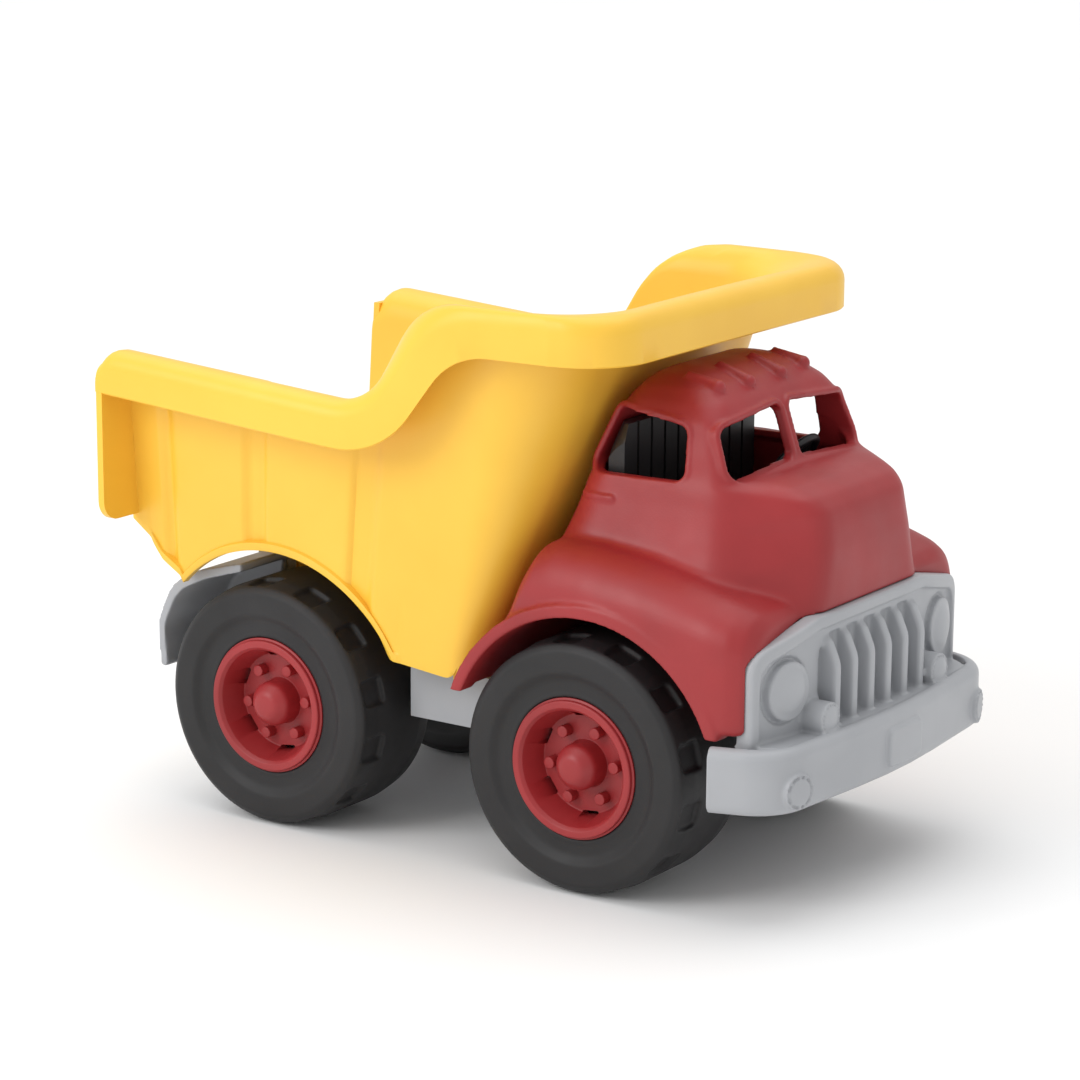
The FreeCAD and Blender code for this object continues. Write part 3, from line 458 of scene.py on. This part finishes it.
CREST = rounded([(-133.4, 120.0, 0), (-133.4, 160.6, 8), (-21.5, 153.2, 26), (5.5, 189.3, 32),
                 (90.0, 189.3, 0)], math.radians(3))
SKIRT = rounded([(-150.0, 146.6, 0), (-14.5, 137.3, 34), (13.0, 173.8, 26), (90.0, 173.8, 0)],
                math.radians(3))
SIDE_EDGE = rounded([(-133.5, 98.6, 0), (-125.5, 92.3, 3), (-121.0, 85.8, 3), (-112.8, 80.4, 0)])


def height_on(line, x):
    """Height of an outline that runs rear to front, at a place along the truck."""
    for first, last in zip(line, line[1:]):
        if first.x <= x <= last.x and last.x - first.x > 1e-6:
            return mix(first.y, last.y, (x - first.x) / (last.x - first.x))
    return line[0].y if x < line[0].x else line[-1].y


def lower_edge(x):
    """The side wall's lower edge: a stepped tail, the wheel arch, and the long skirt in front."""
    if x < -112.8:
        return height_on(SIDE_EDGE, x)
    reach = 53.0 ** 2 - (x - REAR_HUB.x) ** 2
    arch = REAR_HUB.z + math.sqrt(reach) if reach > 0 else 0.0
    front = 61.2 + max(0.0, -x) * 0.11
    front += 5.0 - math.sqrt(max(0.0, 25.0 - max(0.0, x + 5.0) ** 2)) if -5 < x < 0 else 0.0
    return max(arch, front)


def bed_stations():
    """Plan points round the bed, right rear to left rear: wall foot, wall top, rim edge."""
    right = []
    side_count = 110
    for index in range(side_count):
        share = index / (side_count - 1)
        spread = REAR_SPREAD * (1 - share)
        foot = Vector((mix(REAR, LOW_FRONT - LOW_ROUND, share), -LOW_HALF - spread))
        top = Vector((mix(REAR, HIGH_FRONT - HIGH_ROUND, share), -HIGH_HALF - spread))
        ease = smooth_step(top.x, -40.0, HIGH_FRONT - HIGH_ROUND)
        edge = Vector((top.x + ease * (RIM_FRONT - RIM_CORNER - HIGH_FRONT + HIGH_ROUND), 0.0))
        edge.y = -mix(RIM_OUT, RIM_TIP, smooth_step(edge.x, -50.0, RIM_FRONT))
        right.append((foot, top, edge))
    corner_count = 18
    for index in range(1, corner_count + 1):
        turn = math.radians(90 * index / corner_count)
        swing = Vector((math.sin(turn), -math.cos(turn)))
        foot = Vector((LOW_FRONT - LOW_ROUND, LOW_ROUND - LOW_HALF)) + swing * LOW_ROUND
        top = Vector((HIGH_FRONT - HIGH_ROUND, HIGH_ROUND - HIGH_HALF)) + swing * HIGH_ROUND
        edge = Vector((RIM_FRONT - RIM_CORNER, RIM_CORNER - RIM_TIP)) + swing * RIM_CORNER
        right.append((foot, top, edge))
    front_count = 10
    for index in range(1, front_count + 1):
        share = 1 - index / front_count
        foot = Vector((LOW_FRONT, (LOW_ROUND - LOW_HALF) * share))
        top = Vector((HIGH_FRONT, (HIGH_ROUND - HIGH_HALF) * share))
        edge = Vector((RIM_FRONT, (RIM_CORNER - RIM_TIP) * share))
        right.append((foot, top, edge))
    left = [tuple(Vector((p.x, -p.y)) for p in station) for station in reversed(right[:-1])]
    return right + left


GROOVE_EDGES = ((-117.5, -114.0), (-82.0, -73.5), (-36.5, -26.0))


def groove(x):
    """How far the wall steps in, at a place along the rim's foot."""
    depth = 0.0
    for start, end in GROOVE_EDGES:
        depth = max(depth, smooth_step(x, start - 1.2, start + 1.2) - smooth_step(x, end - 1.2, end + 1.2))
    return depth * 1.6


def bed_section(foot, top, edge):
    """Closed section of the wall and its rolled rim at one station."""
    along = max(edge.x, -132.9)
    crest = height_on(CREST, along)
    hem = height_on(SKIRT, along)
    out = (edge - top).normalized()
    width = (edge - top).length

    def wall(z, inset=0.0):
        spot = mix(foot, top, (z - LOW_Z) / (HIGH_Z - LOW_Z)) - out * inset
        return (spot.x, spot.y, z)

    def over(reach, z):
        spot = mix(foot, top, (z - LOW_Z) / (HIGH_Z - LOW_Z))
        base = mix(spot, top, 0.0)
        spot = edge - out * (width - reach) if reach > width * 0.35 else mix(base, edge, reach / width)
        return (spot.x, spot.y, z)

    on_side = abs(foot.y) > LOW_HALF - 0.5
    z_low = 61.2
    for _ in range(4):
        bottom = mix(foot, top, (z_low - LOW_Z) / (HIGH_Z - LOW_Z))
        z_low = lower_edge(bottom.x) if on_side else 61.2
    step_in = groove(mix(foot, top, 0.65).x) if on_side else 0.0
    lip = 0.9 * smooth_step(52.5 - abs(bottom.x - REAR_HUB.x), 0.0, 3.0) if on_side else 0.0
    points = [wall(z_low, 0.3 - lip), wall(z_low + 0.5, -lip), wall(z_low + 2.8, -lip),
              wall(z_low + 3.4, step_in)]
    neck = crest - 11.0
    for share in (0.2, 0.4, 0.6, 0.8, 1.0):
        points.append(wall(mix(z_low + 3.4, neck, share), step_in * (1.0 if share < 1 else 0.0)))
    points += [over(2.2, crest - 5.0), over(4.5, crest - 3.4), over(width - 7.0, crest - 3.2),
               over(width - 3.6, crest - 4.4), over(width - 2.6, crest - 7.0), over(width - 2.4, hem + 0.5),
               over(width - 1.9, hem), over(width - 0.5, hem), over(width, hem + 0.5),
               over(width, crest - 6.0)]
    for stop in range(1, 7):
        turn = math.radians(15 * stop)
        points.append(over(width - 6.0 + 6.0 * math.cos(turn), crest - 6.0 + 6.0 * math.sin(turn)))
    roll = width - 6.0 + SKIN
    for stop in range(1, 7):
        turn = math.radians(15 * stop)
        reach = -SKIN + roll * (1 - math.sin(turn))
        z = crest - 9.5 * (1 - math.cos(turn))
        if reach > 0.2:
            points.append(over(reach, z))
        else:
            points.append(wall(z, -reach))
    for share in (1.0, 0.75, 0.5, 0.25):
        points.append(wall(mix(z_low + 1.0, crest - 10.5, share), SKIN))
    points += [wall(z_low + 1.0, SKIN), wall(z_low, SKIN - 0.4)]
    return points


def make_bed():
    """Yellow bed: walls with rolled rim, floor, tail flanges and hinge lugs."""
    sections = [bed_section(*station) for station in bed_stations()]
    bm = lofted(sections)
    floor = raised([(-133.2, -62.5, 0), (15.0, -62.5, 22), (15.0, 62.5, 22), (-133.2, 62.5, 0)], 94.0, 97.0,
                   "plan")
    absorb(bm, floor)
    for side in (-1, 1):
        plate = [(side * 85.3, 101.0, 7), (side * 85.3, 155.2, 5), (side * 69.5, 155.2, 0),
                 (side * 65.5, 101.0, 0)]
        absorb(bm, raised(plate, -133.1, -130.6, "front"))
        low, high = side * 16.0 - 3.5, side * 16.0 + 3.5
        hinge = middle("bed_hinge_pin")
        lug = raised([(hinge.x - 7, hinge.z - 7, 6.9), (hinge.x + 7, hinge.z - 7, 6.9), (hinge.x + 7, 95, 0),
                      (hinge.x - 7, 95, 0)], low, high)
        absorb(bm, lug)
    bmesh.ops.recalc_face_normals(bm, faces=bm.faces)
    soften_edges(bm, 40)
    piece = to_object("dump_bed_form", bm)
    dress(piece, "bed", "yellow_plastic", "dump_bed")


# ------------------------------------------------------------------ cab
FENDER_RUN = [  # along, top, half width, corner rounding
    (6.0, 64.5, 67.0, 6.0), (14.0, 78.0, 67.2, 8.0), (22.5, 91.5, 67.8, 10.0), (27.0, 104.0, 68.4, 14.0),
    (31.0, 111.0, 68.8, 16.0), (38.0, 113.6, 69.2, 17.0), (52.0, 113.2, 70.2, 17.0),
    (70.0, 111.0, 71.0, 17.0),
    (88.0, 107.2, 71.2, 16.0), (100.0, 103.8, 71.0, 15.0), (107.0, 101.5, 70.0, 14.0),
    (111.5, 99.4, 68.0, 13.0), (114.2, 96.0, 64.0, 12.0),
]
CAB_RISE = [  # height, then rear and front corners as along, half width, rounding
    (128.0, (34.3, 48.6, 13), (93.0, 44.8, 9)), (134.0, (36.5, 46.8, 12), (91.6, 43.4, 8.5)),
    (144.0, (40.0, 43.6, 11.5), (88.2, 41.6, 8)), (153.0, (43.2, 40.4, 11), (85.2, 39.4, 8)),
    (158.0, (45.6, 37.2, 11), (81.5, 36.4, 8)), (162.0, (48.5, 33.0, 10), (76.0, 32.0, 8)),
    (165.0, (52.0, 27.0, 8), (69.0, 26.0, 8)), (166.4, (56.0, 18.0, 3), (63.0, 18.0, 3)),
]
BODY_RISE = [  # height, then rear, shoulder and nose corners
    (84.0, (20.5, 63.0, 14), (98.0, 60.0, 20), (119.0, 38.0, 12)),
    (97.0, (24.0, 59.0, 14), (95.0, 55.5, 20), (119.0, 32.0, 12)),
    (106.0, (27.0, 55.8, 14), (92.5, 52.3, 20), (118.9, 30.0, 12)),
    (114.0, (29.8, 53.0, 14), (90.5, 49.6, 19), (118.6, 28.6, 12)),
    (121.0, (32.2, 50.8, 14), (89.3, 47.6, 18), (117.8, 27.4, 11)),
    (126.5, (34.0, 49.0, 13), (88.5, 46.2, 16), (116.4, 28.0, 10)),
    (130.5, (35.3, 47.8, 12), (88.2, 45.4, 14), (112.4, 29.0, 9)),
    (133.4, (36.2, 47.0, 12), (88.0, 44.6, 12), (105.5, 29.5, 8)),
    (135.2, (37.0, 46.0, 12), (87.6, 43.6, 10), (97.0, 29.0, 6)),
]


def rise(levels, inset=0.0, bow=0.0):
    """A stack of rounded plan outlines, each at its height; the front face bows forward."""
    sections = []
    for z, (rear, *rear_side), *ahead in levels:
        corners = [(rear + inset, inset - rear_side[0], max(1.0, rear_side[1] - inset))]
        corners += [(x - inset, inset - half, max(1.0, corner - inset)) for x, half, corner in ahead]
        corners += [(x, -half, corner) for x, half, corner in reversed(corners)]
        front, half = ahead[-1][:2]
        points = rounded(corners, math.radians(6))
        top = z - inset if z > 132 else z
        sections.append([(p.x - bow * (p.y / half) ** 2 * (p.x > front - 9), p.y, top) for p in points])
    return lofted(sections)


def fenders():
    """The front fenders and lower body, as one loaf along the truck."""
    sections = []
    for x, top, half, corner in FENDER_RUN:
        points = rounded([(-half, 62.5, 0), (half, 62.5, 0), (half - 0.8, top, corner),
                          (0.8 - half, top, corner)],
                         math.radians(9.9))
        sections.append([(x, p.x, p.y) for p in points])
    return lofted(sections)


def ring_about(tree, outline, aim, width=2.2, depth=3.0, proud=0.35):
    """A bead round an opening: it follows the skin that the outline meets when looking along aim."""
    hits = [tree.ray_cast(Vector(point) * MM, aim)[0] / MM for point in outline]
    centre = sum(hits, Vector()) / len(hits)
    sections = []
    for index, here in enumerate(hits):
        run = (hits[(index + 1) % len(hits)] - hits[index - 1]).normalized()
        out = run.cross(aim).normalized()
        if out.dot(here - centre) < 0:
            out = -out
        face = here - aim * proud
        sections.append([face + out * 0.3, face + out * (width - 0.5), here + out * width + aim * 0.3,
                         here + out * width + aim * depth, here + aim * depth, here + aim * 0.1])
    sections.append(sections[0])
    bm = lofted(sections, False)
    bmesh.ops.remove_doubles(bm, verts=bm.verts, dist=0.00001)
    bmesh.ops.recalc_face_normals(bm, faces=bm.faces)
    return bm


HANDLE_STEPS = 12
SIDE_GLASS = [(46.6, 154.6, 3.5), (73.6, 151.2, 3.5), (75.2, 134.4, 3.5), (38.9, 133.9, 3.5)]


def screen_glass(side):
    return [(side * 2.4, 154.2, 2.5), (side * 37.6, 151.6, 4), (side * 40.2, 134.8, 4),
            (side * 2.4, 137.0, 2.5)]


def cab_trim(tree):
    """Window beads, roof lamps and door handles, set on the smooth body."""
    trim = bmesh.new()
    for side in (-1, 1):
        outline = [(p.x, side * 90.0, p.y) for p in rounded(SIDE_GLASS)]
        absorb(trim, ring_about(tree, outline, Vector((0, -side, 0))))
        outline = [(140.0, p.x, p.y) for p in rounded(screen_glass(side))]
        absorb(trim, ring_about(tree, outline, Vector((-1, 0, 0))))
        for step in range(HANDLE_STEPS + 1):
            along = mix(38.5, 50.5, step / HANDLE_STEPS)
            hit = tree.ray_cast(Vector((along, side * 90.0, 126.8)) * MM, Vector((0, -side, 0)))[0] / MM
            absorb(trim, drum(0.9, 1.6, hit, ALONG_Y, 12))
    down = Vector((0, 0, -1))
    for y, front in ((-26.3, 77.0), (-9.8, 78.2), (9.8, 78.2), (26.3, 77.0)):
        tail = tree.ray_cast(Vector((front - 12.5, y, 200.0)) * MM, down)[0] / MM
        nose = tree.ray_cast(Vector((front - 1.0, y, 200.0)) * MM, down)[0] / MM
        lean = (nose - tail).to_track_quat("Z", "Y")
        absorb(trim, drum(1.4, (nose - tail).length, (tail + nose) / 2 + Vector((0, 0, 0.3)), lean, 24, 2.5))
        knob = bmesh.new()
        bmesh.ops.create_uvsphere(knob, u_segments=24, v_segments=12, radius=2.6 * MM,
                                  matrix=Matrix.Translation((nose + Vector((0, 0, 0.3))) * MM))
        absorb(trim, knob)
    return trim


ARCH_X = 54.2
ARCH_RADIUS = 50.2
PANEL_GAP = [(-66.3, 50, 0), (66.3, 50, 0), (66.3, 87.8, 7), (33.0, 95.5, 14), (-33.0, 95.5, 14),
             (-66.3, 87.8, 7)]


def make_cab():
    """Red cab: soft moulded body, fender lips, roof lamps, window openings and hollow inside."""
    bm = fenders()
    absorb(bm, rise(CAB_RISE), rise(BODY_RISE, 0.0, 1.0))
    piece = to_object("cab_shell_form", bm)
    remeshed(piece, 1.2, 6)
    bm = bmesh.new()
    bm.from_mesh(piece.data)
    trim = cab_trim(BVHTree.FromBMesh(bm))
    for side in (-1, 1):
        absorb(bm, drum(ARCH_RADIUS + 4.2, 7.0, (ARCH_X, side * 67.6, FRONT_HUB.z), ALONG_Y, 128))
    bm.to_mesh(piece.data)
    bm.free()
    remeshed(piece, 0.9, 2)
    cutters = [drum(ARCH_RADIUS, 160.0, (ARCH_X, 0, FRONT_HUB.z), ALONG_Y, 128),
               raised([(-20, -30, 0), (130, -30, 0), (130, 61, 0), (-20, 61, 0)], -90, 90)]
    cutters.append(rise(CAB_RISE, 2.6))
    cutters.append(rise(BODY_RISE, 2.6, 1.0))
    cutters.append(raised([(24, -28, 4), (115, -28, 4), (115, 28, 4), (24, 28, 4)], 55, 90, "plan"))
    cutters.append(raised(SIDE_GLASS, -80, 80))
    for side in (-1, 1):
        cutters.append(raised(screen_glass(side), 62.0, 110.0, "front"))
    cutters.append(raised(PANEL_GAP, 108.0, 140.0, "front"))
    carve(piece, cutters)
    bm = bmesh.new()
    bm.from_mesh(piece.data)
    absorb(bm, trim)
    bm.to_mesh(piece.data)
    bm.free()
    remeshed(piece, 0.62, 1, 190000)
    dress(piece, "truck", "red_plastic", "cab_shell")


# ------------------------------------------------------------------ grille and bumper
FACE_X = 118.4
PANEL_EDGE = [(-66.0, 56, 0), (66.0, 56, 0), (66.0, 88.4, 8), (34.0, 95.4, 12), (-34.0, 95.4, 12),
              (-66.0, 88.4, 8)]
LIP_HOLE = [(-62.2, 50, 0), (62.2, 50, 0), (62.2, 84.4, 7), (33.0, 91.2, 12), (-33.0, 91.2, 12),
            (-62.2, 84.4, 7)]
GRILLE_HOLE = [(-31.5, 61.0, 1), (31.5, 61.0, 1), (31.5, 88.2, 7), (-31.5, 88.2, 7)]
FIN = [(115.0, 57.0, 0), (123.4, 57.0, 0), (123.4, 79.5, 9), (119.4, 88.0, 4), (115.0, 88.0, 0)]
SHORT_FIN = [(115.0, 57.0, 0), (119.2, 57.0, 0), (119.2, 68.5, 3), (117.6, 72.0, 1.5), (115.0, 72.0, 0)]


def bevelled(bm, width, segments=3, test=None):
    """Round off a piece's edges."""
    edges = [edge for edge in bm.edges if edge.calc_face_angle(0.0) > 0.6 and (test is None or test(edge))]
    bmesh.ops.bevel(bm, geom=edges, offset=width * MM, segments=segments, profile=0.5, affect="EDGES",
                    material=-1)
    return bm


def groove_ring(radius, place, width=1.4, depth=1.5, turn=ALONG_X):
    """A narrow ring that cuts a crease round a lamp."""
    half = width / 2
    bm = turned([Vector(point) for point in ((radius - half, -depth), (radius + half, -depth),
                                             (radius + half, depth), (radius - half, depth))], 64)
    matrix = Matrix.Translation(Vector(place) * MM) @ turn.to_matrix().to_4x4()
    bmesh.ops.transform(bm, matrix=matrix, verts=bm.verts)
    return bm


def lens(place, radius, bulge):
    """A shallow dome that faces forward."""
    height = [Vector((0, bulge)), Vector((radius * 0.35, bulge * 0.9)), Vector((radius * 0.65, bulge * 0.62)),
              Vector((radius * 0.88, bulge * 0.26)), Vector((radius, 0)), Vector((radius, -3)),
              Vector((0, -3))]
    bm = turned(height, 64)
    matrix = Matrix.Translation(Vector(place) * MM) @ ALONG_X.to_matrix().to_4x4()
    bmesh.ops.transform(bm, matrix=matrix, verts=bm.verts)
    return bm


def bumper_bar():
    """The bowed bumper: a rounded bar swept from end to end."""
    path = rounded([(104.6, -75.7, 0), (127.2, -68.4, 20), (133.2, 0.0, 280), (127.2, 68.4, 20),
                    (104.6, 75.7, 0)], math.radians(5))
    profile = rounded([(0.0, 38.8, 3.4), (0.0, 60.0, 3.6), (-4.6, 60.0, 0.6), (-4.6, 38.8, 0.8)])
    sections = []
    for index, here in enumerate(path):
        run = path[min(index + 1, len(path) - 1)] - path[max(index - 1, 0)]
        out = Vector((run.y, -run.x)).normalized()
        sections.append([(here.x + out.x * p.x, here.y + out.y * p.x, p.y) for p in profile])
    return lofted(sections)


def make_grille():
    """Grey grille and bumper: lipped panel, fins, lamps, bowed bumper with its plate and markers."""
    face = raised(PANEL_EDGE, FACE_X - 4.0, FACE_X, "front")
    piece = to_object("grille_bumper_form", face)
    lip = to_object("lip", bevelled(raised(PANEL_EDGE, FACE_X - 4.0, FACE_X + 2.0, "front"), 1.4))
    carve(lip, [raised(LIP_HOLE, FACE_X - 6.0, FACE_X + 8.0, "front")])
    carve(piece, [raised(GRILLE_HOLE, FACE_X - 2.2, FACE_X + 8.0, "front")])
    bm = bmesh.new()
    bm.from_mesh(piece.data)
    bm.from_mesh(lip.data)
    bpy.data.objects.remove(lip)
    for index in range(6):
        y = 11.0 * (index - 2.5)
        absorb(bm, bevelled(raised(FIN, y - 1.9, y + 1.9), 0.9))
    for index in range(7):
        y = 11.0 * (index - 3)
        absorb(bm, bevelled(raised(SHORT_FIN, y - 1.7, y + 1.7), 0.8))
    for side in (-1, 1):
        absorb(bm, drum(9.7, 4.0, (FACE_X + 0.2, side * 49.1, 74.5), ALONG_X, 64),
               lens((FACE_X + 1.6, side * 49.1, 74.5), 8.9, 2.6))
    bm.to_mesh(piece.data)
    bm.free()
    remeshed(piece, 0.45, 1)
    creases = [groove_ring(10.2, (FACE_X + 0.3, side * 49.1, 74.5)) for side in (-1, 1)]
    carve(piece, [absorb(*creases)])
    remeshed(piece, 0.45, 1)
    for vert in piece.data.vertices:
        reach = max(0.0, abs(vert.co.y) / MM - 24.0)
        vert.co.x -= 0.0032 * reach * reach * MM
    bm = bmesh.new()
    bm.from_mesh(piece.data)
    absorb(bm, bumper_bar(), raised([(112.0, -66, 0), (124.6, -66.5, 18), (130.6, 0, 280), (124.6, 66.5, 18),
                                     (112.0, 66, 0)], 56.4, 59.4, "plan"))
    plate = raised([(-10.6, 42.4, 2.4), (10.6, 42.4, 2.4), (10.6, 55.0, 2.4), (-10.6, 55.0, 2.4)],
                   129.0, 133.4, "front")
    absorb(bm, bevelled(plate, 0.6, 2, lambda edge: min(v.co.x for v in edge.verts) > 0.1333))
    for side in (-1, 1):
        absorb(bm, bevelled(drum(5.7, 12.0, (119.8, side * 35.7, 63.4), ALONG_X, 48), 0.7, 2),
               lens((125.4, side * 35.7, 63.4), 4.5, 1.4))
        sweep = Quaternion((0, 0, 1), math.radians(16 * side)) @ ALONG_X
        absorb(bm, bevelled(drum(5.9, 4.0, (126.9, side * 58.6, 46.2), sweep, 48), 0.5, 2))
    bracket = raised([(107.6, -20, 0), (130.0, -20, 0), (130.0, 20, 0), (107.6, 20, 0)], 54.0, 57.0, "plan")
    absorb(bm, bracket)
    for side in (-1, 1):
        absorb(bm, raised([(107.6, 42, 0), (130.0, 42, 0), (130.0, 57, 0), (107.6, 57, 0)], side * 18.5 - 1.5,
                          side * 18.5 + 1.5))
    bm.to_mesh(piece.data)
    bm.free()
    rings = bmesh.new()
    for side in (-1, 1):
        sweep = Quaternion((0, 0, 1), math.radians(16 * side)) @ ALONG_X
        absorb(rings, groove_ring(4.7, (125.8, side * 35.7, 63.4), 0.8, 0.9),
               groove_ring(4.8, (128.9, side * 59.2, 46.2), 0.9, 1.1, sweep))
    remeshed(piece, 0.42, 1)
    carve(piece, [rings])
    remeshed(piece, 0.42, 1, 180000)
    dress(piece, "truck", "grey_plastic", "grille_bumper")


GUARD = [(-125.4, 45.2, 1.6), (-126.9, 60.0, 12), (-120.4, 73.4, 14), (-108.0, 79.2, 16), (-92.0, 84.0, 0),
         (-92.0, 87.0, 0), (-110.0, 82.4, 18), (-123.0, 75.8, 16), (-129.8, 61.0, 14), (-128.6, 45.2, 1.6)]
GUARD_WEB = [(-124.6, 50.0, 0), (-118.0, 46.0, 0), (-104.0, 46.0, 0), (-98.0, 84.0, 0), (-109.0, 80.4, 8),
             (-121.6, 74.4, 10), (-127.4, 61.0, 8)]


def make_mudguards():
    """Curved guards behind the rear wheels, with the web that carries each."""
    for hand, side in (("right", -1), ("left", 1)):
        low, high = sorted((side * 28.3, side * 60.0))
        bm = raised(GUARD, low, high)
        low, high = sorted((side * 27.0, side * 29.2))
        absorb(bm, raised(GUARD_WEB, low, high))
        piece = to_object(f"rear_mudguard_{hand}_form", bm)
        remeshed(piece, 0.6, 3, 40000)
        dress(piece, "truck", "grey_plastic", f"rear_mudguard_{hand}")


def dress_frame():
    """Finish on the nodes that are shown as they are."""
    for row in frame["record"]["subparts"]:
        node = frame["nodes"][row["node"]]
        node.data.materials.clear()
        node.data.materials.append(FINISH[row["material_slot"]])


dress_frame()
make_wheels()
make_bed()
make_cab()
make_grille()
make_mudguards()
add_camera()
add_studio()
